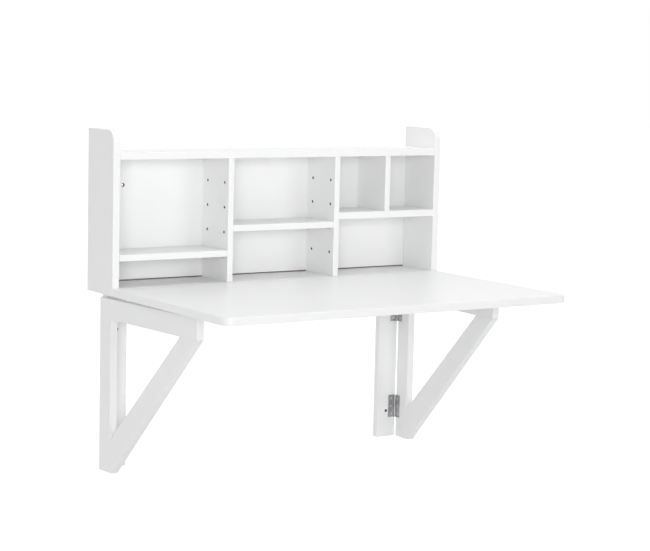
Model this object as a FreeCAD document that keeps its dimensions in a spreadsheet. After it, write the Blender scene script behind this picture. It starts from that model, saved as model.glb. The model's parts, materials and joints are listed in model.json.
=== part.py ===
"""Fold-down wall desk: an open shelf unit, a drop leaf and two swinging triangular brackets.

The frame is +X to the right along the wall, +Y into the wall and +Z up. Y = 0 is the wall, X = 0 the
middle of the unit and Z = 0 the level of the two wall-fixing holes in the back panel. Millimetres.
"""
import FreeCAD, Part
import os

import Sketcher
from FreeCAD import Rotation, Vector

# Every driving dimension, with what it measures.
SIZES = {
    "unit_width": (1000, "outside to outside of the side panels"),
    "unit_depth": (140, "wall to the front of the shelf unit"),
    "panel_thickness": (19, "side panel"),
    "panel_height": (412, "side panel, underside to top"),
    "panel_corner": (30, "radius of a side panel's upper front corner"),
    "top_thickness": (18, "top board"),
    "top_height": (337, "desk surface to the top board's upper face"),
    "leaf_thickness": (20, "drop leaf and bottom board"),
    "leaf_depth": (556, "drop leaf, back edge to front edge"),
    "leaf_corner": (28, "radius of the leaf's front corners"),
    "leaf_seam": (2, "open joint between shelf unit and leaf"),
    "divider_thickness": (16, "upright dividers"),
    "shelf_thickness": (16, "the two loose shelves"),
    "fixed_shelf_thickness": (18, "fixed shelf of the right bay"),
    "fixed_shelf_height": (152, "desk surface to the fixed shelf's underside"),
    "back_thickness": (7, "back panel"),
    "back_foot_gap": (3, "height of the shadow groove along the back panel's foot"),
    "back_lip": (3, "thickness of the back panel behind that groove"),
    "fit_gap": (0.5, "play at each end of a loose shelf and of the back panel"),
    "fixing_height": (246, "desk surface to the back panel's wall-fixing holes"),
    "fixing_inset": (76, "inner face of a side panel to the nearer of those holes"),
    "fixing_radius": (3.5, "wall-fixing holes in the back panel"),
    "peg_pitch": (64, "shelf peg rows, upwards"),
    "peg_first": (64, "desk surface to the lowest peg row"),
    "peg_front": (20, "front edge to the front column of peg holes"),
    "peg_rear": (107, "front edge to the rear column of peg holes"),
    "peg_radius": (2.5, "shelf peg"),
    "peg_socket": (7, "depth of a peg hole"),
    "peg_reach": (8, "length of a peg outside its hole"),
    "seat_play": (0.05, "loose shelf above the crown of its pegs"),
    "post_width": (60, "wall post"),
    "post_thickness": (20, "wall post"),
    "post_height": (462, "wall post, foot to the shelf unit's underside"),
    "post_edge": (44, "outer face of a side panel to a post's outer edge"),
    "post_hole_foot": (74, "foot of a post to its lower wall-fixing hole"),
    "post_hole_head": (102, "head of a post to its upper wall-fixing hole"),
    "post_hole_side": (29, "inner edge of a post to its wall-fixing holes"),
    "post_hole_radius": (4, "wall-fixing holes in the posts"),
    "bracket_thickness": (20, "bracket boards"),
    "member_width": (53, "upright, arm and brace of a bracket"),
    "bracket_drop": (15, "leaf underside to the top of a bracket"),
    "bracket_setback": (1.5, "hinge axis to the rear edge of a bracket"),
    "axis_inset": (3, "outer edge of a post to the hinge axis of its bracket, inwards"),
    "fold_space": (14, "between the tips of the two folded brackets"),
    "brace_seat": (75, "length of the brace's end against the arm"),
    "brace_rise": (86, "bracket foot to the window's lowest corner"),
    "brace_toe": (8, "brace foot in front of the upright"),
    "left_swing_degrees": (4.1, "angle the left bracket stands in from square"),
    "right_swing_degrees": (2.1, "angle the right bracket stands in from square"),
    "buffer_radius": (10, "rubber buffer under the leaf"),
    "buffer_setback": (25, "bracket tip to the middle of its buffer"),
    "buffer_play": (0.2, "buffer to leaf"),
    "hinge_height": (63, "butt hinges"),
    "hinge_end": (55, "end of a bracket to its hinge"),
    "leaf_hinge_outer_share": (0.33, "middle of the unit to the outer leaf hinges, of its width"),
    "leaf_hinge_inner_share": (0.12, "middle of the unit to the inner leaf hinges, of its width"),
    "plate_width": (20, "hinge axis to the free edge of a hinge plate"),
    "plate_thickness": (1.8, "hinge plates"),
    "plate_offset": (1.5, "hinge axis to the face of a bracket hinge plate"),
    "knuckle_radius": (3, "hinge knuckles"),
    "knuckle_gap": (0.3, "around and between the knuckles"),
    "hinge_pin_radius": (1.5, "hinge pins"),
    "hinge_pin_play": (0.05, "radial play of the hinge pins"),
    "tab_bracket": (1, "hinge axis to a bracket hinge plate's knuckle root"),
    "tab_leaf": (0.8, "hinge axis to a leaf hinge plate's knuckle root"),
    "screw_radius": (1.75, "hinge screws"),
    "screw_head_radius": (3.4, "hinge screws"),
    "screw_head_depth": (1.65, "hinge screws"),
    "screw_length": (14, "hinge screws, head included"),
    "screw_line": (12, "hinge axis to the screws of a plate"),
    "screw_end": (10, "end of a hinge to its outer screws"),
    "screw_play": (0.08, "around the screws"),
    "screw_slack": (1, "hole beyond a screw's end"),
    "dowel_radius": (4, "wooden dowels"),
    "dowel_face": (9.5, "dowel length in the face of a board"),
    "dowel_end": (19.5, "dowel length in the end of a board"),
    "dowel_play": (0.05, "around the dowels"),
    "dowel_slack": (0.5, "hole beyond each end of a dowel"),
    "dowel_rear": (35, "wall to the rear dowels of the shelf unit"),
    "dowel_front": (105, "wall to the front dowels of the shelf unit"),
    "arm_dowel_edge": (13, "edge of an arm to its dowels"),
    "foot_dowel_low": (37, "bracket foot to the lower dowel of the brace"),
    "foot_dowel_high": (67, "bracket foot to the upper dowel of the brace"),
    "seat_dowel_front": (37, "bracket tip to the front dowel under the arm"),
    "seat_dowel_rear": (59, "bracket tip to the rear dowel under the arm"),
    "overrun": (1, "cutting tools beyond the faces that they open"),
}
PEG_ROWS = 4
LEFT_SHELF_ROW = 0
MIDDLE_SHELF_ROW = 1
KNUCKLES = 5
BAYS = 3
AXIS_X = Vector(1, 0, 0)
AXIS_Y = Vector(0, 1, 0)
AXIS_Z = Vector(0, 0, 1)

doc = FreeCAD.newDocument("wall_desk")
sheet = doc.addObject("Spreadsheet::Sheet", "Sizes")
for line, (alias, (number, meaning)) in enumerate(SIZES.items(), start=1):
    sheet.set(f"A{line}", meaning)
    sheet.set(f"B{line}", str(number))
    sheet.setAlias(f"B{line}", alias)
doc.recompute()


class Size:
    """A length with its value and with the expression over the sheet that gives it."""

    def __init__(self, text, value):
        self.text = text
        self.value = value

    def __add__(self, other):
        other = as_size(other)
        return Size(f"({self.text} + {other.text})", self.value + other.value)

    def __sub__(self, other):
        other = as_size(other)
        return Size(f"({self.text} - {other.text})", self.value - other.value)

    def __mul__(self, other):
        other = as_size(other)
        return Size(f"({self.text} * {other.text})", self.value * other.value)

    def __truediv__(self, other):
        other = as_size(other)
        return Size(f"({self.text} / {other.text})", self.value / other.value)

    def __neg__(self):
        return self * -1


def as_size(number):
    return number if isinstance(number, Size) else Size(f"({number})", float(number))


def size(alias):
    return Size(f"Sizes.{alias}", float(sheet.get(alias)))


NOTHING = as_size(0)


def bind(item, prop, length):
    setattr(item, prop, length.value)
    item.setExpression(prop, length.text)


def place(item, at, turn=None):
    """Puts an object at three lengths, turned by a rotation."""
    lengths = [as_size(length) for length in at]
    item.Placement = FreeCAD.Placement(Vector(*(length.value for length in lengths)), turn or Rotation())
    for axis, length in zip("xyz", lengths):
        item.setExpression(f"Placement.Base.{axis}", length.text)


def toward(direction):
    """The turn that lays an object's own Z axis along a direction."""
    return Rotation(AXIS_Z, direction)


def triad(along, into):
    """The turn that lays a hinge plate's X along the plate and its Y into the wood."""
    return Rotation(along, into, along.cross(into), "XYZ")


def profile(name, plane, corners, depth, at):
    """A board as a body: an outline of corners on one of its origin planes, padded to a depth."""
    body = doc.addObject("PartDesign::Body", name)
    place(body, at)
    sketch = body.newObject("Sketcher::SketchObject", f"{name}_outline")
    support = next(item for item in body.Origin.OriginFeatures if item.Role == plane)
    sketch.AttachmentSupport = (support, [""])
    sketch.MapMode = "FlatFace"
    points = [Vector(across.value, up.value, 0) for across, up in corners]
    count = len(points)
    for i, point in enumerate(points):
        sketch.addGeometry(Part.LineSegment(point, points[(i + 1) % count]), False)
    for i in range(count):
        sketch.addConstraint(Sketcher.Constraint("Coincident", i, 2, (i + 1) % count, 1))
    for i, (across, up) in enumerate(corners):
        for kind, axis, length in (("DistanceX", -2, across), ("DistanceY", -1, up)):
            if length.value == 0:
                sketch.addConstraint(Sketcher.Constraint("PointOnObject", i, 1, axis))
                continue
            index = sketch.addConstraint(Sketcher.Constraint(kind, -1, 1, i, 1, length.value))
            sketch.renameConstraint(index, f"{kind}_{i}")
            sketch.setExpression(f"Constraints.{kind}_{i}", length.text)
    pad = body.newObject("PartDesign::Pad", f"{name}_pad")
    pad.Profile = sketch
    bind(pad, "Length", depth)
    body.Tip = pad
    doc.recompute()
    return body


def rectangle(across, up):
    return [(NOTHING, NOTHING), (across, NOTHING), (across, up), (NOTHING, up)]


def round_edges(body, radius, spots):
    """Rounds the edges of a body whose middles lie at the given spots in its own frame."""
    square = body.Tip
    chosen = []
    for spot in spots:
        distances = [(edge.CenterOfMass - spot).Length for edge in square.Shape.Edges]
        chosen.append(f"Edge{distances.index(min(distances)) + 1}")
    fillet = body.newObject("PartDesign::Fillet", f"{body.Name}_corners")
    fillet.Base = (square, chosen)
    bind(fillet, "Radius", radius)
    body.Tip = fillet
    doc.recompute()


def cylinder(name, radius, height, at=(0, 0, 0), turn=None):
    item = doc.addObject("Part::Cylinder", name)
    bind(item, "Radius", radius)
    bind(item, "Height", height)
    place(item, at, turn)
    return item


def cone(name, first, second, height):
    item = doc.addObject("Part::Cone", name)
    bind(item, "Radius1", first)
    bind(item, "Radius2", second)
    bind(item, "Height", height)
    return item


def box(name, length, width, height, at):
    item = doc.addObject("Part::Box", name)
    bind(item, "Length", length)
    bind(item, "Width", width)
    bind(item, "Height", height)
    place(item, at)
    return item


def join(name, pieces):
    item = doc.addObject("Part::MultiFuse", name)
    item.Shapes = pieces
    return item


def bundle(name, pieces):
    item = doc.addObject("Part::Compound", name)
    item.Links = pieces
    return item


def cut(name, base, tools):
    item = doc.addObject("Part::Cut", name)
    item.Base = base
    item.Tool = bundle(f"{name}_tools", tools)
    return item


def copy_of(master, name, at, turn=None):
    item = doc.addObject("App::Link", name)
    item.LinkedObject = master
    place(item, at, turn)
    return item


NODES = {}
DRILLED = {}


def keep(label, item):
    item.Label = label
    NODES[label] = item


def drill(board, tool):
    DRILLED.setdefault(board, []).append(tool)


# Levels and stations that several pieces share.
floor = -size("fixing_height")
half_width = size("unit_width") / 2
inner_half = half_width - size("panel_thickness")
underside = floor - size("leaf_thickness")
front = -size("unit_depth")
top_face = floor + size("top_height")
top_under = top_face - size("top_thickness")
bay = (inner_half * 2 - size("divider_thickness") * (BAYS - 1)) / BAYS
left_divider = -inner_half + bay
right_divider = left_divider + size("divider_thickness") + bay
right_bay = right_divider + size("divider_thickness")
short_divider = right_bay + (bay - size("divider_thickness")) / 2
shelf_depth = size("unit_depth") - size("back_thickness")
fixed_under = floor + size("fixed_shelf_height")
fixed_face = fixed_under + size("fixed_shelf_thickness")
post_foot = underside - size("post_height")
post_outer = half_width - size("post_edge")
post_inner = post_outer - size("post_width")
axis_out = post_outer - size("axis_inset")
axis_front = -(size("post_thickness") + size("plate_thickness") + size("plate_offset"))
bracket_face = size("plate_thickness") + size("plate_offset")
bracket_back = size("bracket_setback")
bracket_height = size("post_height") - size("bracket_drop")
reach = axis_out - size("fold_space") / 2

# Fasteners, drawn once. Each stands on its own Z axis, which points into the wood.
screw = join("hinge_screw", [
    cone("hinge_screw_head", size("screw_head_radius"), size("screw_radius"), size("screw_head_depth")),
    cylinder("hinge_screw_shank", size("screw_radius"), size("screw_length")),
])
screw_hole = join("hinge_screw_hole", [
    cone("screw_hole_sink", size("screw_head_radius") + size("screw_play"),
         size("screw_radius") + size("screw_play"), size("screw_head_depth")),
    cylinder("screw_hole_shank", size("screw_radius") + size("screw_play"),
             size("screw_length") + size("screw_slack")),
])
dowel = cylinder("dowel", size("dowel_radius"), size("dowel_face") + size("dowel_end"),
                 (0, 0, -size("dowel_face")))
dowel_hole = cylinder("dowel_hole", size("dowel_radius") + size("dowel_play"),
                      size("dowel_face") + size("dowel_end") + size("dowel_slack") * 2,
                      (0, 0, -(size("dowel_face") + size("dowel_slack"))))
peg = cylinder("shelf_peg", size("peg_radius"), size("peg_socket") + size("peg_reach") - size("dowel_slack"),
               (0, 0, -size("peg_reach")))
peg_hole = cylinder("shelf_peg_hole", size("peg_radius") + size("dowel_play"),
                    size("peg_socket") + size("overrun"), (0, 0, -size("overrun")))
dowel_box = bundle("dowel_pattern", [dowel])
dowel_hole_box = bundle("dowel_hole_pattern", [dowel_hole])
peg_box = bundle("shelf_peg_pattern", [peg])
peg_hole_box = bundle("shelf_peg_hole_pattern", [peg_hole])

# The shelf unit's boards.
blanks = {}
panel_outline = rectangle(size("unit_depth"), size("panel_height"))
for side, station in (("left", -half_width), ("right", inner_half)):
    panel = profile(f"side_panel_{side}_blank", "YZ_Plane", panel_outline, size("panel_thickness"),
                    (station, front, underside))
    round_edges(panel, size("panel_corner"),
                [Vector(size("panel_thickness").value / 2, 0, size("panel_height").value)])
    blanks[f"side_panel_{side}"] = panel

lying = rectangle(inner_half * 2, size("unit_depth"))
blanks["top_board"] = profile("top_board_blank", "XY_Plane", lying, size("top_thickness"),
                              (-inner_half, front, top_under))
blanks["bottom_board"] = profile("bottom_board_blank", "XY_Plane", lying, size("leaf_thickness"),
                                 (-inner_half, front, underside))
upright = rectangle(shelf_depth, size("top_height") - size("top_thickness"))
for side, station in (("left", left_divider), ("right", right_divider)):
    blanks[f"divider_{side}"] = profile(f"divider_{side}_blank", "YZ_Plane", upright,
                                        size("divider_thickness"), (station, front, floor))
blanks["fixed_shelf"] = profile("fixed_shelf_blank", "XY_Plane", rectangle(bay, shelf_depth),
                                size("fixed_shelf_thickness"), (right_bay, front, fixed_under))
blanks["short_divider"] = profile("short_divider_blank", "YZ_Plane",
                                  rectangle(shelf_depth, top_under - fixed_face),
                                  size("divider_thickness"), (short_divider, front, fixed_face))
blanks["back_panel"] = profile(
    "back_panel_blank", "XZ_Plane",
    rectangle(inner_half * 2 - size("fit_gap") * 2, top_under - floor),
    size("back_thickness"), (-inner_half + size("fit_gap"), 0, floor))
drill("back_panel", box("back_foot_groove", inner_half * 2,
                        size("back_thickness") - size("back_lip") + size("overrun"),
                        size("back_foot_gap") + size("overrun"),
                        (-inner_half, -size("back_thickness") - size("overrun"), floor - size("overrun"))))
fixing_offset = inner_half - size("fixing_inset")
for mark in (-1, 1):
    name = "left" if mark < 0 else "right"
    drill("back_panel", cylinder(f"back_fixing_{name}", size("fixing_radius"),
                                 size("back_thickness") + size("overrun") * 2,
                                 (fixing_offset * mark, size("overrun"), 0), toward(-AXIS_Y)))

# Dowels hold the boards together: (name, end-grain board, face board, X, Z, direction into the end).
top_middle = top_under + size("top_thickness") / 2
bottom_middle = underside + size("leaf_thickness") / 2
fixed_middle = fixed_under + size("fixed_shelf_thickness") / 2
half_divider = size("divider_thickness") / 2
CASE_JOINTS = [
    ("top_left", "top_board", "side_panel_left", -inner_half, top_middle, AXIS_X),
    ("top_right", "top_board", "side_panel_right", inner_half, top_middle, -AXIS_X),
    ("bottom_left", "bottom_board", "side_panel_left", -inner_half, bottom_middle, AXIS_X),
    ("bottom_right", "bottom_board", "side_panel_right", inner_half, bottom_middle, -AXIS_X),
    ("left_head", "divider_left", "top_board", left_divider + half_divider, top_under, -AXIS_Z),
    ("left_foot", "divider_left", "bottom_board", left_divider + half_divider, floor, AXIS_Z),
    ("right_head", "divider_right", "top_board", right_divider + half_divider, top_under, -AXIS_Z),
    ("right_foot", "divider_right", "bottom_board", right_divider + half_divider, floor, AXIS_Z),
    ("short_head", "short_divider", "top_board", short_divider + half_divider, top_under, -AXIS_Z),
    ("short_foot", "short_divider", "fixed_shelf", short_divider + half_divider, fixed_face, AXIS_Z),
    ("fixed_left", "fixed_shelf", "divider_right", right_bay, fixed_middle, AXIS_X),
    ("fixed_right", "fixed_shelf", "side_panel_right", inner_half, fixed_middle, -AXIS_X),
]
case_dowels = []
for name, end_board, face_board, across, up, direction in CASE_JOINTS:
    for row, station in (("rear", size("dowel_rear")), ("front", size("dowel_front"))):
        spot = (across, -station, up)
        case_dowels.append(copy_of(dowel_box, f"dowel_{name}_{row}", spot, toward(direction)))
        hole = copy_of(dowel_hole_box, f"dowel_hole_{name}_{row}", spot, toward(direction))
        drill(end_board, hole)
        drill(face_board, hole)
keep("case_dowels", bundle("case_dowels", case_dowels))

# Shelf pegs: (board, face's X, direction into the board, row that carries a shelf).
PEG_FACES = [
    ("side_panel_left", -inner_half, -AXIS_X, LEFT_SHELF_ROW),
    ("divider_left", left_divider, AXIS_X, LEFT_SHELF_ROW),
    ("divider_left", left_divider + size("divider_thickness"), -AXIS_X, MIDDLE_SHELF_ROW),
    ("divider_right", right_divider, AXIS_X, MIDDLE_SHELF_ROW),
]
pegs = []
for number, (board, across, direction, used_row) in enumerate(PEG_FACES):
    for row in range(PEG_ROWS):
        for column, inset in (("front", size("peg_front")), ("rear", size("peg_rear"))):
            spot = (across, front + inset, floor + size("peg_first") + size("peg_pitch") * row)
            drill(board, copy_of(peg_hole_box, f"peg_hole_{number}_{row}_{column}", spot, toward(direction)))
            if row == used_row:
                pegs.append(copy_of(peg_box, f"peg_{number}_{column}", spot, toward(direction)))
keep("shelf_pegs", bundle("shelf_pegs", pegs))
loose_outline = rectangle(bay - size("fit_gap") * 2, shelf_depth - size("fit_gap"))
for name, station, row in (("left", -inner_half, LEFT_SHELF_ROW),
                           ("middle", left_divider + size("divider_thickness"), MIDDLE_SHELF_ROW)):
    peg_crown = floor + size("peg_first") + size("peg_pitch") * row + size("peg_radius")
    keep(f"shelf_{name}", profile(f"shelf_{name}", "XY_Plane", loose_outline, size("shelf_thickness"),
                                  (station + size("fit_gap"), front, peg_crown + size("seat_play"))))

# The wall posts and the drop leaf.
for side, station in (("left", -post_outer), ("right", post_inner)):
    blanks[f"post_{side}"] = profile(f"post_{side}_blank", "XZ_Plane",
                                     rectangle(size("post_width"), size("post_height")),
                                     size("post_thickness"), (station, 0, post_foot))
    mark = -1 if side == "left" else 1
    hole_across = (post_inner + size("post_hole_side")) * mark
    for name, up in (("low", post_foot + size("post_hole_foot")),
                     ("high", underside - size("post_hole_head"))):
        drill(f"post_{side}", cylinder(f"post_fixing_{side}_{name}", size("post_hole_radius"),
                                       size("post_thickness") + size("overrun") * 2,
                                       (hole_across, size("overrun"), up), toward(-AXIS_Y)))
leaf_back = front - size("leaf_seam")
leaf = profile("leaf_board_blank", "XY_Plane", rectangle(size("unit_width"), size("leaf_depth")),
               size("leaf_thickness"), (-half_width, leaf_back - size("leaf_depth"), underside))
half_leaf = size("leaf_thickness").value / 2
round_edges(leaf, size("leaf_corner"), [Vector(0, 0, half_leaf),
                                        Vector(size("unit_width").value, 0, half_leaf)])
blanks["leaf_board"] = leaf

# Butt hinges. A plate's own X runs from the hinge axis along the plate, Y into the wood, Z on the axis.
knuckle = (size("hinge_height") - size("knuckle_gap") * (KNUCKLES - 1)) / KNUCKLES
root_edge = size("knuckle_radius") + size("knuckle_gap")
screw_stations = [size("screw_end"), size("hinge_height") / 2, size("hinge_height") - size("screw_end")]


def hinge_plate(name, rise, tab, own_knuckles):
    """One half of a butt hinge. rise is the height of its outer face over the axis."""
    pieces = [box(f"{name}_sheet", size("plate_width") - root_edge, size("plate_thickness"),
                  size("hinge_height"), (root_edge, rise, 0))]
    for i in own_knuckles:
        base = (knuckle + size("knuckle_gap")) * i
        pieces.append(box(f"{name}_root_{i}", root_edge - tab, size("plate_thickness"), knuckle,
                          (tab, rise, base)))
        pieces.append(cylinder(f"{name}_knuckle_{i}", size("knuckle_radius"), knuckle, (0, 0, base)))
    solid = join(f"{name}_solid", pieces)
    tools = [cylinder(f"{name}_bore", size("hinge_pin_radius") + size("hinge_pin_play"),
                      size("hinge_height") + size("overrun") * 2, (0, 0, -size("overrun")))]
    for i, station in enumerate(screw_stations):
        tools.append(copy_of(screw_hole, f"{name}_screw_hole_{i}",
                             (size("screw_line"), rise, station), toward(AXIS_Y)))
    return cut(name, solid, tools)


leaf_rise = size("knuckle_gap") + size("knuckle_radius") - size("plate_thickness")
FIXED_KNUCKLES = range(0, KNUCKLES, 2)
MOVING_KNUCKLES = range(1, KNUCKLES, 2)
KINDS = {
    "bracket": (size("plate_offset"), size("tab_bracket")),
    "leaf": (leaf_rise, size("tab_leaf")),
}
plates = {}
for kind, (rise, tab) in KINDS.items():
    plates[kind, "fixed"] = hinge_plate(f"{kind}_hinge_fixed_plate", rise, tab, FIXED_KNUCKLES)
    plates[kind, "moving"] = hinge_plate(f"{kind}_hinge_moving_plate", rise, tab, MOVING_KNUCKLES)
screw_sets = {}
screw_hole_sets = {}
for kind, (rise, tab) in KINDS.items():
    spots = [(size("screw_line"), rise, station) for station in screw_stations]
    screw_sets[kind] = bundle(f"{kind}_hinge_screw_set", [
        copy_of(screw, f"{kind}_hinge_screw_{i}", spot, toward(AXIS_Y)) for i, spot in enumerate(spots)])
    screw_hole_sets[kind] = bundle(f"{kind}_hinge_hole_set", [
        copy_of(screw_hole, f"{kind}_hinge_hole_{i}", spot, toward(AXIS_Y)) for i, spot in enumerate(spots)])
hinge_pin = cylinder("hinge_pin", size("hinge_pin_radius"), size("hinge_height"))
hinge_pin_box = bundle("hinge_pin_pattern", [hinge_pin])


def half_hinge(name, kind, half, base, along, into, boards):
    """Places one hinge plate with its screws, and drills the boards behind it."""
    turn = triad(along, into)
    upward = along.cross(into)
    start = base
    if upward.dot(AXIS_X + AXIS_Z) < 0:
        start = tuple(as_size(c) + size("hinge_height") * -d for c, d in zip(base, upward))
    plate = copy_of(plates[kind, half], f"{name}_plate", start, turn)
    screws = copy_of(screw_sets[kind], f"{name}_screws", start, turn)
    for board in boards:
        drill(board, copy_of(screw_hole_sets[kind], f"{name}_holes_{board}", start, turn))
    return plate, screws


# Leaf hinges under the joint between bottom board and leaf.
leaf_axis_y = front - size("leaf_seam") / 2
leaf_axis_z = underside - size("knuckle_gap") - size("knuckle_radius")
half_hinge_height = size("hinge_height") / 2
fixed_plates, fixed_screws, moving_plates, moving_screws, leaf_pins = [], [], [], [], []
outer_hinge = size("unit_width") * size("leaf_hinge_outer_share")
inner_hinge = size("unit_width") * size("leaf_hinge_inner_share")
for number, station in enumerate((-outer_hinge, -inner_hinge, inner_hinge, outer_hinge)):
    base = (station - half_hinge_height, leaf_axis_y, leaf_axis_z)
    plate, screws = half_hinge(f"leaf_hinge_{number}_fixed", "leaf", "fixed", base, AXIS_Y, AXIS_Z,
                               ["bottom_board"])
    fixed_plates.append(plate)
    fixed_screws.append(screws)
    plate, screws = half_hinge(f"leaf_hinge_{number}_moving", "leaf", "moving", base, -AXIS_Y, AXIS_Z,
                               ["leaf_board"])
    moving_plates.append(plate)
    moving_screws.append(screws)
    leaf_pins.append(copy_of(hinge_pin_box, f"leaf_hinge_{number}_pin", base, toward(AXIS_X)))
keep("leaf_hinge_fixed_plates", bundle("leaf_hinge_fixed_plates", fixed_plates))
keep("leaf_hinge_fixed_screws", bundle("leaf_hinge_fixed_screws", fixed_screws))
keep("leaf_hinge_moving_plates", bundle("leaf_hinge_moving_plates", moving_plates))
keep("leaf_hinge_moving_screws", bundle("leaf_hinge_moving_screws", moving_screws))
keep("leaf_hinge_pins", bundle("leaf_hinge_pins", leaf_pins))

# The brackets. Each is drawn square to the wall, round its hinge axis, and then swung as photographed.
arm_under = bracket_height - size("member_width")
upright_front = bracket_back + size("member_width")
tip = reach
hinge_levels = (("low", size("hinge_end")),
                ("high", bracket_height - size("hinge_end") - size("hinge_height")))


def out(distance):
    """A station on a bracket's outline, which is drawn from its tip back to the wall."""
    return tip - distance


OUTLINES = {
    "upright": [(out(upright_front), NOTHING), (out(bracket_back), NOTHING),
                (out(bracket_back), bracket_height), (out(upright_front), bracket_height)],
    "arm": [(NOTHING, arm_under), (out(upright_front), arm_under),
            (out(upright_front), bracket_height), (NOTHING, bracket_height)],
    "brace": [(out(upright_front + size("brace_toe")), NOTHING), (out(upright_front), NOTHING),
              (out(upright_front), size("brace_rise")), (size("brace_seat"), arm_under),
              (NOTHING, arm_under)],
}
half_bracket = size("bracket_thickness") / 2
BRACKET_JOINTS = [
    ("arm_low", "arm", "upright", upright_front, arm_under + size("arm_dowel_edge"), -AXIS_Y),
    ("arm_high", "arm", "upright", upright_front, bracket_height - size("arm_dowel_edge"), -AXIS_Y),
    ("foot_low", "brace", "upright", upright_front, size("foot_dowel_low"), -AXIS_Y),
    ("foot_high", "brace", "upright", upright_front, size("foot_dowel_high"), -AXIS_Y),
    ("seat_front", "brace", "arm", tip - size("seat_dowel_front"), arm_under, -AXIS_Z),
    ("seat_rear", "brace", "arm", tip - size("seat_dowel_rear"), arm_under, -AXIS_Z),
]
post_plates, post_screws, post_pins = {}, [], []
swung = {}
for side, mark, swing in (("left", -1, size("left_swing_degrees")), ("right", 1, -size("right_swing_degrees"))):
    outward = AXIS_X * mark
    face = bracket_face if mark > 0 else -(bracket_face + size("bracket_thickness"))
    middle = (bracket_face + half_bracket) * mark
    for member, outline in OUTLINES.items():
        label = f"bracket_{member}_{side}"
        blanks[label] = profile(f"{label}_blank", "YZ_Plane", outline, size("bracket_thickness"),
                                (face, -tip, 0))
        swung[label] = (mark, swing)
    dowels = []
    for name, end_board, face_board, station, up, direction in BRACKET_JOINTS:
        spot = (middle, -station, up)
        dowels.append(copy_of(dowel_box, f"dowel_{side}_{name}", spot, toward(direction)))
        hole = copy_of(dowel_hole_box, f"dowel_hole_{side}_{name}", spot, toward(direction))
        drill(f"bracket_{end_board}_{side}", hole)
        drill(f"bracket_{face_board}_{side}", hole)
    own_plates, own_screws, wall_plates = [], [], []
    for name, level in hinge_levels:
        plate, screws = half_hinge(f"bracket_hinge_{side}_{name}_moving", "bracket", "moving",
                                   (NOTHING, NOTHING, level), -AXIS_Y, outward,
                                   [f"bracket_upright_{side}"])
        own_plates.append(plate)
        own_screws.append(screws)
        base = (axis_out * mark, axis_front, post_foot + level)
        plate, screws = half_hinge(f"bracket_hinge_{side}_{name}_fixed", "bracket", "fixed",
                                   base, -outward, AXIS_Y, [f"post_{side}"])
        wall_plates.append(plate)
        post_screws.append(screws)
        post_pins.append(copy_of(hinge_pin_box, f"bracket_hinge_{side}_{name}_pin", base, toward(AXIS_Z)))
    keep(f"post_hinge_plates_{side}", bundle(f"post_hinge_plates_{side}", wall_plates))
    buffer = cylinder(f"bracket_buffer_{side}", size("buffer_radius"),
                      size("bracket_drop") - size("buffer_play"),
                      (middle, -(tip - size("buffer_setback")), bracket_height))
    for label, item in ((f"bracket_hinge_plates_{side}", bundle(f"bracket_hinge_plates_{side}", own_plates)),
                        (f"bracket_hinge_screws_{side}", bundle(f"bracket_hinge_screws_{side}", own_screws)),
                        (f"bracket_dowels_{side}", bundle(f"bracket_dowels_{side}", dowels)),
                        (f"bracket_buffer_{side}", bundle(f"bracket_buffer_{side}_seated", [buffer]))):
        keep(label, item)
        swung[label] = (mark, swing)
keep("post_hinge_screws", bundle("post_hinge_screws", post_screws))
keep("post_hinge_pins", bundle("post_hinge_pins", post_pins))

# Every board is now cut with the holes that its neighbours asked for, and the brackets are hung.
for label, blank in blanks.items():
    keep(label, cut(label, blank, DRILLED[label]) if label in DRILLED else blank)
for label, (mark, swing) in swung.items():
    place(NODES[label], (axis_out * mark, axis_front, post_foot), Rotation(AXIS_Z, swing.value))
    NODES[label].setExpression("Placement.Rotation.Angle", swing.text)
doc.recompute()

for item in doc.Objects:
    if "Invalid" in item.State or "Error" in item.State:
        raise RuntimeError(f"{item.Name} did not build: {item.State}")
os.makedirs("parts", exist_ok=True)
for label, item in sorted(NODES.items()):
    shape = item.Shape
    if shape.isNull() or not shape.isValid() or not shape.Solids:
        raise RuntimeError(f"{label} has no valid solid")
    shape.exportStep(f"parts/{label}.step")
    bounds = shape.BoundBox
    print(f"{label}: {len(shape.Solids)} solids, {shape.Volume / 1000:.1f} cm3, "
          f"X {bounds.XMin:.1f} {bounds.XMax:.1f}, Y {bounds.YMin:.1f} {bounds.YMax:.1f}, "
          f"Z {bounds.ZMin:.1f} {bounds.ZMax:.1f}")
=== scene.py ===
"""Dresses the fold-down wall desk: lacquered boards, steel hinges, screws and pegs, soft studio light.

Metres, in the CAD model's frame: +X right along the wall, +Y into the wall, +Z up.
"""
import json
import math

import bmesh
import bpy
from mathutils import Matrix, Vector

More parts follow.
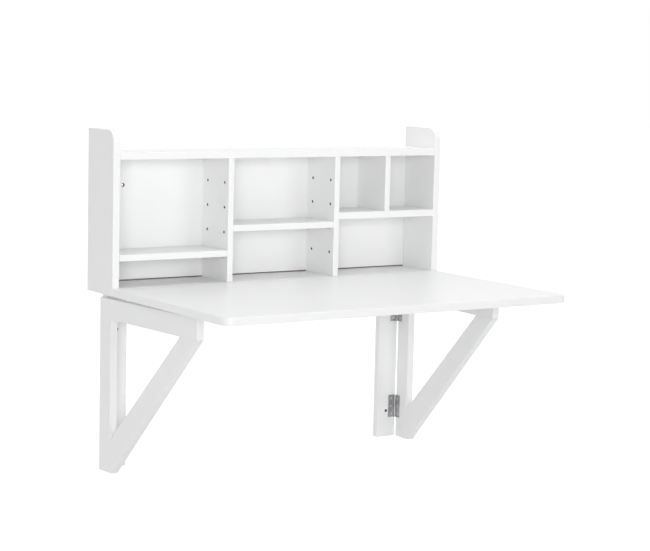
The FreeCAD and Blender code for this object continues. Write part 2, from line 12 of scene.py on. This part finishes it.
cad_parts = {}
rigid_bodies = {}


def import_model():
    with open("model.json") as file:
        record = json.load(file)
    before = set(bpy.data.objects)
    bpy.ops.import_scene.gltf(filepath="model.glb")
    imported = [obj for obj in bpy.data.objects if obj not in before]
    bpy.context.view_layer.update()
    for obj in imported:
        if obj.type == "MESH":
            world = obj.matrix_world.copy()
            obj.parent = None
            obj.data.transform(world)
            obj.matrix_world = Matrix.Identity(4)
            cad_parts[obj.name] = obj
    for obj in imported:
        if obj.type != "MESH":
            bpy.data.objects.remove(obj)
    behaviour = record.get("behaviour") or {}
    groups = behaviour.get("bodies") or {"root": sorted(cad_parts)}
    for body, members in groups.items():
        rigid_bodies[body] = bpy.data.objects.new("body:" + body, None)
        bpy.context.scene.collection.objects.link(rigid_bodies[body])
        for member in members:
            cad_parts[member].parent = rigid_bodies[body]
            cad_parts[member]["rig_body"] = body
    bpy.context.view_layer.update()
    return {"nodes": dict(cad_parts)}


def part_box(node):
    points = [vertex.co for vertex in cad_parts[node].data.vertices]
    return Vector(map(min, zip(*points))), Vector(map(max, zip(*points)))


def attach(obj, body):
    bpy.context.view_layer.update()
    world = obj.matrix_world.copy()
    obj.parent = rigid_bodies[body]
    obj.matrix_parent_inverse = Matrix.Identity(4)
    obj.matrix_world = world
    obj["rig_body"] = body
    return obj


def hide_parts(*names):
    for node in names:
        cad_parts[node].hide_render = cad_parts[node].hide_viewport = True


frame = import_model()
scene = bpy.context.scene


# Materials

NOISE_LOW = 0.3
NOISE_HIGH = 0.7
EVEN = (1.0, 1.0, 1.0)
WHITE = (1.0, 1.0, 1.0, 1.0)


def new_material(name):
    """Makes a material and gives it with its nodes, links and shader."""
    material = bpy.data.materials.new(name)
    material.use_nodes = True
    nodes = material.node_tree.nodes
    return material, nodes, material.node_tree.links, nodes["Principled BSDF"]


def noise_at(nodes, links, scale, detail, stretch=EVEN):
    """Noise in the piece's own coordinates. A stretch below 1 draws it out along that axis."""
    coords = nodes.new("ShaderNodeTexCoord")
    mapping = nodes.new("ShaderNodeMapping")
    mapping.inputs["Scale"].default_value = stretch
    noise = nodes.new("ShaderNodeTexNoise")
    noise.inputs["Scale"].default_value = scale
    noise.inputs["Detail"].default_value = detail
    links.new(coords.outputs["Object"], mapping.inputs["Vector"])
    links.new(mapping.outputs["Vector"], noise.inputs["Vector"])
    return noise.outputs["Fac"]


def ramp_from(nodes, links, factor, low, high):
    """Turns noise into a colour between low and high."""
    ramp = nodes.new("ShaderNodeValToRGB")
    ramp.color_ramp.elements[0].position = NOISE_LOW
    ramp.color_ramp.elements[0].color = (*low, 1.0)
    ramp.color_ramp.elements[1].position = NOISE_HIGH
    ramp.color_ramp.elements[1].color = (*high, 1.0)
    links.new(factor, ramp.inputs["Fac"])
    return ramp.outputs["Color"]


def range_from(nodes, links, factor, low, high):
    """Turns noise into a number between low and high."""
    spread = nodes.new("ShaderNodeMapRange")
    spread.inputs["From Min"].default_value = NOISE_LOW
    spread.inputs["From Max"].default_value = NOISE_HIGH
    spread.inputs["To Min"].default_value = low
    spread.inputs["To Max"].default_value = high
    links.new(factor, spread.inputs["Value"])
    return spread.outputs["Result"]


def bump_from(nodes, links, shader, factor, strength, distance):
    """Turns noise into fine relief."""
    bump = nodes.new("ShaderNodeBump")
    bump.inputs["Strength"].default_value = strength
    bump.inputs["Distance"].default_value = distance
    links.new(factor, bump.inputs["Height"])
    links.new(bump.outputs["Normal"], shader.inputs["Normal"])


def lacquer(name, low, high, smooth, dull, peel):
    """Paint with a faint cloud of colour, a sheen from smooth to dull and a fine ripple."""
    material, nodes, links, shader = new_material(name)
    cloud = noise_at(nodes, links, scale=5.0, detail=3.0)
    links.new(ramp_from(nodes, links, cloud, low, high), shader.inputs["Base Color"])
    sheen = noise_at(nodes, links, scale=14.0, detail=2.0)
    links.new(range_from(nodes, links, sheen, smooth, dull), shader.inputs["Roughness"])
    ripple = noise_at(nodes, links, scale=420.0, detail=2.0)
    bump_from(nodes, links, shader, ripple, strength=peel, distance=0.0003)
    return material


def metal(name, low, high, smooth, dull, depth, stretch=EVEN):
    """Metal with a grain that sets its colour, its sheen and a very fine relief."""
    material, nodes, links, shader = new_material(name)
    shader.inputs["Metallic"].default_value = 1.0
    grain = noise_at(nodes, links, scale=260.0, detail=4.0, stretch=stretch)
    links.new(ramp_from(nodes, links, grain, low, high), shader.inputs["Base Color"])
    links.new(range_from(nodes, links, grain, smooth, dull), shader.inputs["Roughness"])
    bump_from(nodes, links, shader, grain, strength=depth, distance=0.00002)
    return material


def fibre(name, low, high, scale, smooth, dull, depth, stretch=EVEN):
    """Dull material with a grain: raw board, wood or rubber. The raw board here is darkened to painted
    shade.
    """
    material, nodes, links, shader = new_material(name)
    grain = noise_at(nodes, links, scale=scale, detail=6.0, stretch=stretch)
    links.new(ramp_from(nodes, links, grain, low, high), shader.inputs["Base Color"])
    links.new(range_from(nodes, links, grain, smooth, dull), shader.inputs["Roughness"])
    bump_from(nodes, links, shader, grain, strength=depth, distance=0.0004)
    return material


PAINT_LOW = (0.888, 0.890, 0.893)
PAINT_HIGH = (0.903, 0.905, 0.907)

LACQUER = lacquer("white_lacquer", PAINT_LOW, PAINT_HIGH, smooth=0.34, dull=0.42, peel=0.06)
GLOSS = lacquer("white_lacquer_gloss", PAINT_LOW, PAINT_HIGH, smooth=0.29, dull=0.35, peel=0.03)
# Painted shade: raw board darkened nearly to black for the walls and mouths of holes, where it stands in
# for the shade inside them.
RAW_BOARD_SHADE = fibre(
    "raw_board_painted_shade", (0.040, 0.023, 0.012), (0.085, 0.050, 0.028),
    scale=900.0, smooth=0.75, dull=0.95, depth=0.5,
)
# Painted shade: raw board darkened for the groove at the back panel's foot, where it stands in for the
# shadow in that gap.
RAW_GROOVE_SHADE = fibre(
    "groove_painted_shade", (0.16, 0.13, 0.10), (0.26, 0.22, 0.18),
    scale=700.0, smooth=0.75, dull=0.95, depth=0.4,
)
STEEL = metal(
    "hinge_steel", (0.23, 0.23, 0.24), (0.50, 0.50, 0.51),
    smooth=0.28, dull=0.40, depth=0.25, stretch=(1.0, 1.0, 0.12),
)
SCREW = metal(
    "screw_steel", (0.58, 0.58, 0.59), (0.74, 0.74, 0.75),
    smooth=0.28, dull=0.38, depth=0.15,
)
# Painted shade: a dark steel for the walls and floor of each screw head's cross recess, which stands in
# for the shade in it.
RECESS_SHADE = metal(
    "screw_recess_painted_shade", (0.10, 0.10, 0.10), (0.18, 0.18, 0.18),
    smooth=0.40, dull=0.55, depth=0.15,
)
NICKEL = metal(
    "peg_steel", (0.64, 0.63, 0.61), (0.74, 0.73, 0.71),
    smooth=0.28, dull=0.38, depth=0.15, stretch=(1.0, 0.15, 1.0),
)
BEECH = fibre(
    "beech", (0.52, 0.34, 0.19), (0.66, 0.46, 0.29),
    scale=120.0, smooth=0.5, dull=0.7, depth=0.3, stretch=(1.0, 1.0, 0.1),
)
RUBBER = fibre(
    "rubber", (0.03, 0.03, 0.032), (0.06, 0.06, 0.063),
    scale=700.0, smooth=0.65, dull=0.85, depth=0.4,
)


# Pieces that stand for the solids, with eased edges and smooth rounds

WELD = 2e-6
FLAT_ANGLE = math.radians(1.0)
EDGE_ANGLE = math.radians(40.0)
SMOOTH_ANGLE = math.radians(38.0)

# An edge this short is a step round a hole, and a hole's walls are strips that stand across the board.
SHORT_EDGE = 0.0022
STRIP_CORNERS = 4
ACROSS_BOARD = 0.2
ALONG_BOARD = 0.9

# A board's material slots after the finish, and a screw's after its steel. These slots carry painted
# shade.
HOLE_SHADE_SLOT = 1
GROOVE_SHADE_SLOT = 2
RECESS_SHADE_SLOT = 1

# How far the edges of each kind of board are eased
PANEL_EASE = 0.0012
LEAF_EASE = 0.0014
SHELF_EASE = 0.0006
POST_EASE = 0.0010
BRACKET_EASE = 0.0008

# Rims of raw board round the holes, which widen the painted shade there, and the height of the groove at
# the back panel's foot with some room above, which takes painted shade too
PEG_RIM = 0.0010
FIXING_RIM = 0.0014
GROOVE_HEIGHT = 0.0035

# The cross in a screw head, in shares of the head's radius, and its depth
CROSS_REACH = 0.58
CROSS_HALF = 0.13
CROSS_FLOOR_REACH = 0.34
CROSS_FLOOR_HALF = 0.10
CROSS_DEPTH = 0.0011
CROSS_ARMS = 4

# Heads are the widest discs of a screw, and each screw is turned a little further than the last.
DISC_CORNERS = 8
HEAD_SHARE = 0.8
SCREW_TURN = 37.0


def welded(node):
    """The node's mesh with its loose triangles joined."""
    mesh = bmesh.new()
    mesh.from_mesh(frame["nodes"][node].data)
    bmesh.ops.remove_doubles(mesh, verts=mesh.verts, dist=WELD)
    return mesh


def flattened(node):
    """The node's welded mesh with each flat side as one face."""
    mesh = welded(node)
    bmesh.ops.dissolve_limit(mesh, angle_limit=FLAT_ANGLE, verts=mesh.verts, edges=mesh.edges)
    return mesh


def stand_for(mesh, node, slot, *materials):
    """Makes a piece of the mesh, which takes the node's place on the node's body."""
    data = bpy.data.meshes.new("dressed_" + node)
    mesh.to_mesh(data)
    mesh.free()
    for material in materials:
        data.materials.append(material)
    data.polygons.foreach_set("use_smooth", [True] * len(data.polygons))
    data.set_sharp_from_angle(angle=SMOOTH_ANGLE)
    piece = bpy.data.objects.new("dressed_" + node, data)
    scene.collection.objects.link(piece)
    flats = piece.modifiers.new("flats", "WEIGHTED_NORMAL")
    flats.keep_sharp = True
    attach(piece, frame["nodes"][node]["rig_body"])
    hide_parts(node)


def smooth_piece(node, slot, material):
    """A piece with the node's own shape in one material."""
    stand_for(welded(node), node, slot, material)


def eased_board(node, ease, finish, foot_shade_height=0.0, rim=0.0):
    """A board with eased edges. Its holes, their rims and a groove at its foot show raw board darkened to
    painted shade.
    """
    mesh = flattened(node)
    low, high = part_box(node)
    spans = high - low
    thin = min(range(len(spans)), key=lambda axis: spans[axis])
    # Hole walls and faces at the foot get the slots of painted shade.
    for face in mesh.faces:
        narrow = min(edge.calc_length() for edge in face.edges) < SHORT_EDGE
        across = abs(face.normal[thin]) < ACROSS_BOARD
        if foot_shade_height > 0.0 and face.calc_center_median().z < low.z + foot_shade_height:
            face.material_index = GROOVE_SHADE_SLOT
        elif narrow and across and len(face.verts) <= STRIP_CORNERS:
            face.material_index = HOLE_SHADE_SLOT
    sharp = [
        edge for edge in mesh.edges
        if len(edge.link_faces) == 2
        and edge.calc_face_angle() > EDGE_ANGLE
        and edge.calc_length() > SHORT_EDGE
        and not any(face.material_index for face in edge.link_faces)
    ]
    bmesh.ops.bevel(
        mesh, geom=sharp, offset=ease, offset_type="OFFSET", segments=2, profile=0.5,
        affect="EDGES", clamp_overlap=True, material=-1,
    )
    # A rim round each hole's mouth widens the painted shade of its raw board.
    if rim > 0.0:
        mouths = [
            edge for edge in mesh.edges
            if len(edge.link_faces) == 2
            and edge.calc_length() < SHORT_EDGE
            and sum(face.material_index for face in edge.link_faces) == HOLE_SHADE_SLOT
            and max(abs(face.normal[thin]) for face in edge.link_faces) > ALONG_BOARD
        ]
        bmesh.ops.bevel(
            mesh, geom=mouths, offset=rim, offset_type="OFFSET", segments=1, profile=0.5,
            affect="EDGES", clamp_overlap=False, material=HOLE_SHADE_SLOT,
        )
        bmesh.ops.dissolve_degenerate(mesh, dist=WELD, edges=mesh.edges)
    finishes = (finish, RAW_BOARD_SHADE, RAW_GROOVE_SHADE) if foot_shade_height > 0.0 else (finish, RAW_BOARD_SHADE)
    stand_for(mesh, node, "white_lacquer", *finishes)


def cross_outline(centre, along, across, reach, half):
    """The corners of a cross, whose arms reach out from the centre and are twice half wide."""
    corners = []
    for arm in range(CROSS_ARMS):
        angle = math.tau * arm / CROSS_ARMS
        ahead = math.cos(angle) * along + math.sin(angle) * across
        aside = math.cos(angle) * across - math.sin(angle) * along
        corners.append(centre + reach * ahead - half * aside)
        corners.append(centre + reach * ahead + half * aside)
        corners.append(centre + half * ahead + half * aside)
    return corners


def sink_cross(mesh, head, spin):
    """Replaces a screw's flat head by one with a cross recess, turned by spin degrees."""
    rim = list(head.edges)
    centre = head.calc_center_median()
    normal = head.normal.copy()
    radius = max((vert.co - centre).length for vert in head.verts)
    start = (head.verts[0].co - centre).normalized()
    along = Matrix.Rotation(math.radians(spin), 3, normal) @ start
    across = normal.cross(along)
    bmesh.ops.delete(mesh, geom=[head], context="FACES_ONLY")
    sunk = centre - CROSS_DEPTH * normal
    upper = cross_outline(centre, along, across, CROSS_REACH * radius, CROSS_HALF * radius)
    lower = cross_outline(sunk, along, across, CROSS_FLOOR_REACH * radius, CROSS_FLOOR_HALF * radius)
    mouth = [mesh.verts.new(corner) for corner in upper]
    bottom = [mesh.verts.new(corner) for corner in lower]
    count = len(mouth)
    lips = [mesh.edges.new((mouth[i], mouth[(i + 1) % count])) for i in range(count)]
    flat = bmesh.ops.triangle_fill(mesh, use_beauty=True, edges=rim + lips, normal=normal)
    for face in flat["geom"]:
        if isinstance(face, bmesh.types.BMFace) and face.normal.dot(normal) < 0.0:
            face.normal_flip()
    # The recess walls and floor take the painted-shade steel.
    for i in range(count):
        j = (i + 1) % count
        wall = mesh.faces.new((mouth[j], mouth[i], bottom[i], bottom[j]))
        wall.material_index = RECESS_SHADE_SLOT
    base = mesh.faces.new(bottom)
    base.material_index = RECESS_SHADE_SLOT


def cross_screws(node):
    """A node's screws with a cross recess in each head."""
    mesh = flattened(node)
    discs = [face for face in mesh.faces if len(face.verts) > DISC_CORNERS]
    widest = max(face.calc_area() for face in discs)
    heads = [face for face in discs if face.calc_area() > HEAD_SHARE * widest]
    for number, head in enumerate(heads):
        sink_cross(mesh, head, SCREW_TURN * number)
    bmesh.ops.recalc_face_normals(mesh, faces=mesh.faces)
    stand_for(mesh, node, "hinge_steel", SCREW, RECESS_SHADE)


SIDES = ("left", "right")

for side in SIDES:
    eased_board("side_panel_" + side, PANEL_EASE, LACQUER, rim=PEG_RIM)
eased_board("leaf_board", LEAF_EASE, GLOSS)
eased_board("bottom_board", SHELF_EASE, GLOSS)
for side in SIDES:
    eased_board("divider_" + side, SHELF_EASE, LACQUER, rim=PEG_RIM)
for node in ("top_board", "short_divider", "fixed_shelf", "shelf_left", "shelf_middle"):
    eased_board(node, SHELF_EASE, LACQUER)
# The back panel's foot takes the groove's painted shade.
eased_board("back_panel", SHELF_EASE, LACQUER, foot_shade_height=GROOVE_HEIGHT, rim=FIXING_RIM)
for side in SIDES:
    eased_board("post_" + side, POST_EASE, LACQUER)
    for member in ("upright", "arm", "brace"):
        eased_board("bracket_" + member + "_" + side, BRACKET_EASE, LACQUER)

for side in SIDES:
    smooth_piece("post_hinge_plates_" + side, "hinge_steel", STEEL)
    smooth_piece("bracket_hinge_plates_" + side, "hinge_steel", STEEL)
    cross_screws("bracket_hinge_screws_" + side)
    smooth_piece("bracket_buffer_" + side, "rubber", RUBBER)
    smooth_piece("bracket_dowels_" + side, "beech", BEECH)
for node in ("post_hinge_pins", "leaf_hinge_pins", "leaf_hinge_fixed_plates", "leaf_hinge_moving_plates"):
    smooth_piece(node, "hinge_steel", STEEL)
for node in ("post_hinge_screws", "leaf_hinge_fixed_screws", "leaf_hinge_moving_screws"):
    cross_screws(node)
smooth_piece("shelf_pegs", "peg_steel", NICKEL)
smooth_piece("case_dowels", "beech", BEECH)


# Floor, light and camera

FLOOR_LEVEL = -1.02
FLOOR_RADIUS = 30.0
FLOOR_CORNERS = 96
FLOOR_LOW = (0.64, 0.64, 0.64)
FLOOR_HIGH = (0.66, 0.66, 0.66)

# What lifts the floor to white for the camera and in reflections, without lighting the desk
FLOOR_LIFT = 0.72

# The world's strength in front of the desk and behind it, and how far in Y the change between them reaches
WORLD_FRONT = 0.35
WORLD_BACK = 0.88
WORLD_BLEND = 0.2

LAMP_TARGET = Vector((0.0, -0.3, -0.2))

# The camera that was fitted to the photograph: pixels, degrees and metres
PHOTO_FOCAL = 1898.4417
PHOTO_WIDTH = 650.0
PHOTO_YAW = 33.3851
PHOTO_PITCH = 6.8680
PHOTO_ROLL = -1.3195
PHOTO_PLACE = Vector((-2.62753, -4.32475, 0.36112))
SENSOR_WIDTH = 36.0
FAR_CLIP = 200.0


def background_ray(nodes, links):
    """1 for the rays that see the background: camera, glossy and transmission rays."""
    path = nodes.new("ShaderNodeLightPath")
    first = nodes.new("ShaderNodeMath")
    first.operation = "MAXIMUM"
    links.new(path.outputs["Is Camera Ray"], first.inputs[0])
    links.new(path.outputs["Is Glossy Ray"], first.inputs[1])
    second = nodes.new("ShaderNodeMath")
    second.operation = "MAXIMUM"
    links.new(first.outputs["Value"], second.inputs[0])
    links.new(path.outputs["Is Transmission Ray"], second.inputs[1])
    return second.outputs["Value"]


def floor_material():
    """Pale matt grey that shows as white and keeps the desk's shadow."""
    material, nodes, links, shader = new_material("pale_floor")
    cloud = noise_at(nodes, links, scale=0.6, detail=2.0)
    links.new(ramp_from(nodes, links, cloud, FLOOR_LOW, FLOOR_HIGH), shader.inputs["Base Color"])
    shader.inputs["Roughness"].default_value = 0.9
    shader.inputs["Specular IOR Level"].default_value = 0.1
    lift = nodes.new("ShaderNodeMath")
    lift.operation = "MULTIPLY"
    lift.inputs[1].default_value = FLOOR_LIFT
    links.new(background_ray(nodes, links), lift.inputs[0])
    shader.inputs["Emission Color"].default_value = WHITE
    links.new(lift.outputs["Value"], shader.inputs["Emission Strength"])
    return material


def floor():
    """A round floor under the desk."""
    mesh = bmesh.new()
    bmesh.ops.create_circle(mesh, cap_ends=True, radius=FLOOR_RADIUS, segments=FLOOR_CORNERS)
    data = bpy.data.meshes.new("pale_floor")
    mesh.to_mesh(data)
    mesh.free()
    data.materials.append(floor_material())
    ground = bpy.data.objects.new("pale_floor", data)
    ground.location = (0.0, 0.0, FLOOR_LEVEL)
    scene.collection.objects.link(ground)


def white_world():
    """A white background, which lights the desk more from behind than from the front."""
    world = bpy.data.worlds.new("studio")
    scene.world = world
    world.use_nodes = True
    nodes = world.node_tree.nodes
    links = world.node_tree.links
    nodes.clear()
    soft = nodes.new("ShaderNodeBackground")
    soft.inputs["Color"].default_value = WHITE
    coords = nodes.new("ShaderNodeTexCoord")
    split = nodes.new("ShaderNodeSeparateXYZ")
    links.new(coords.outputs["Generated"], split.inputs["Vector"])
    strength = nodes.new("ShaderNodeMapRange")
    strength.interpolation_type = "SMOOTHSTEP"
    strength.inputs["From Min"].default_value = -WORLD_BLEND
    strength.inputs["From Max"].default_value = WORLD_BLEND
    strength.inputs["To Min"].default_value = WORLD_FRONT
    strength.inputs["To Max"].default_value = WORLD_BACK
    links.new(split.outputs["Y"], strength.inputs["Value"])
    links.new(strength.outputs["Result"], soft.inputs["Strength"])
    white = nodes.new("ShaderNodeBackground")
    white.inputs["Color"].default_value = WHITE
    white.inputs["Strength"].default_value = 1.0
    mix = nodes.new("ShaderNodeMixShader")
    links.new(background_ray(nodes, links), mix.inputs["Fac"])
    links.new(soft.outputs["Background"], mix.inputs[1])
    links.new(white.outputs["Background"], mix.inputs[2])
    out = nodes.new("ShaderNodeOutputWorld")
    links.new(mix.outputs["Shader"], out.inputs["Surface"])


def softbox(name, place, width, height, watts):
    """A rectangular lamp that faces the desk."""
    data = bpy.data.lights.new(name, "AREA")
    data.shape = "RECTANGLE"
    data.size = width
    data.size_y = height
    data.energy = watts
    lamp = bpy.data.objects.new(name, data)
    lamp.location = place
    lamp.rotation_euler = (LAMP_TARGET - Vector(place)).to_track_quat("-Z", "Y").to_euler()
    scene.collection.objects.link(lamp)


def camera():
    """The photograph's camera."""
    yaw = math.radians(PHOTO_YAW)
    pitch = math.radians(PHOTO_PITCH)
    roll = math.radians(PHOTO_ROLL)
    level_ahead = Vector((math.sin(yaw), math.cos(yaw), 0.0))
    ahead = math.cos(pitch) * level_ahead - math.sin(pitch) * Vector((0.0, 0.0, 1.0))
    level = Vector((math.cos(yaw), -math.sin(yaw), 0.0))
    down = ahead.cross(level)
    right = math.cos(roll) * level + math.sin(roll) * down
    below = math.cos(roll) * down - math.sin(roll) * level
    data = bpy.data.cameras.new("photo_camera")
    data.sensor_fit = "HORIZONTAL"
    data.sensor_width = SENSOR_WIDTH
    data.lens = PHOTO_FOCAL / PHOTO_WIDTH * SENSOR_WIDTH
    data.clip_end = FAR_CLIP
    eye = bpy.data.objects.new("photo_camera", data)
    turn = Matrix((right, -below, -ahead)).transposed().to_4x4()
    eye.matrix_world = Matrix.Translation(PHOTO_PLACE) @ turn
    scene.collection.objects.link(eye)
    scene.camera = eye


floor()
white_world()
softbox("right_softbox", (2.80, -7.40, 1.30), width=3.0, height=2.4, watts=82.0)
softbox("left_softbox", (-4.00, -6.80, 0.60), width=3.0, height=2.4, watts=223.0)
softbox("top_softbox", (0.30, -0.80, 3.40), width=2.0, height=2.0, watts=48.0)
camera()
scene.view_settings.view_transform = "Standard"
